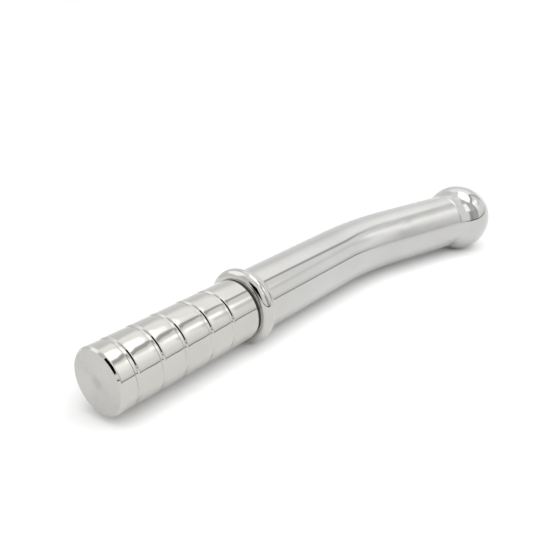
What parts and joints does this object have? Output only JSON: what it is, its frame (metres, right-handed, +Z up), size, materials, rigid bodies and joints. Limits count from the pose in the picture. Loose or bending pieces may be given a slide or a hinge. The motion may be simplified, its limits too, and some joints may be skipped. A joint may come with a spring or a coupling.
{
  "type": "bent steel hand wand",
  "caption": "Hand wand with a grooved screw-off grip, a stop collar, a gently bent polished tube and a ball end.",
  "frame": {"origin": "centre of the flat butt face, on the axis of the grip", "axes": "+X along the grip from the butt towards the collar, +Z up with the wand lying on its collar and ball, the shaft bends towards -Y"},
  "size_m": [0.2282, 0.0513, 0.0317],
  "materials": {
    "polished_steel": "mirror polished stainless steel",
    "turned_steel": "fine turned stainless steel with a polished rim",
    "machined_steel": "machined stainless steel",
    "seal_rubber": "matt black rubber"
  },
  "bodies": {
    "shaft": {"shaft_tube": "polished_steel", "shaft_bush": "machined_steel", "thread_stud": "machined_steel", "stud_pin": "machined_steel", "collar_ring": "polished_steel", "ball_rear_shell": "polished_steel", "ball_front_shell": "polished_steel"},
    "seal": {"seal_washer": "seal_rubber"},
    "grip": {"grip_sleeve": "polished_steel", "butt_cap": "turned_steel", "grip_plug": "machined_steel"}
  },
  "joints": [
    {"name": "seal_travel", "type": "slide", "parent": "shaft", "child": "seal", "axis": [-1, 0, 0], "range_m": [0, 0.0105]},
    {"name": "grip_turn", "type": "hinge", "parent": "seal", "child": "grip", "pos_m": [0.0333, 0, 0], "axis": [-1, 0, 0], "range_deg": [0, 2160]}
  ],
  "couplings": [
    {"joint": "grip_turn", "follows": "seal_travel", "rad_per_m": 3590}
  ]
}
